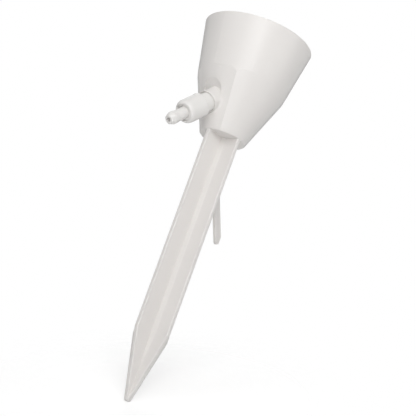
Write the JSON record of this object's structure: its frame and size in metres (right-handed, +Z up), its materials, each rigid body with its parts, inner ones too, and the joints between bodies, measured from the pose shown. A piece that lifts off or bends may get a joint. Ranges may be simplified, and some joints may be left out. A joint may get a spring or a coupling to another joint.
{
  "type": "self watering spike",
  "caption": "Funnel cup on a cross-section soil stake, with a screw-down drip valve and barbed nozzle leaning out of its side; takes an upturned drinks bottle.",
  "frame": {"origin": "tip of the stake, on the cup's axis", "axes": "+Z up the axis of the stake and cup, towards the bottle; +X towards the side that the valve leans out to; -X towards the stake's side prong"},
  "size_m": [0.0844, 0.0698, 0.245],
  "materials": {
    "moulded_plastic": "satin off-white moulded plastic",
    "valve_plastic": "satin off-white moulded plastic, slightly smoother",
    "strainer_plastic": "thin moulded plastic",
    "black_rubber": "moulded rubber"
  },
  "bodies": {
    "holder": {"cup": "moulded_plastic", "bottle_collar": "moulded_plastic", "collar_seal": "black_rubber", "strainer": "strainer_plastic", "neck_washer": "black_rubber", "stake": "moulded_plastic", "valve_seat": "black_rubber", "valve_body": "valve_plastic", "body_seal": "black_rubber"},
    "knob": {"flow_knob": "valve_plastic"},
    "stem": {"nozzle_stem": "valve_plastic", "stem_seal": "black_rubber"}
  },
  "joints": [
    {"name": "knob_turn", "type": "hinge", "parent": "holder", "child": "knob", "pos_m": [0, 0, 0.2118], "axis": [0.6947, 0, -0.7193], "range_deg": [0, 360]},
    {"name": "stem_slide", "type": "slide", "parent": "holder", "child": "stem", "axis": [0.6947, 0, -0.7193], "range_m": [0, 0.002]}
  ],
  "couplings": [
    {"joint": "stem_slide", "follows": "knob_turn", "m_per_rad": 0.000318}
  ]
}
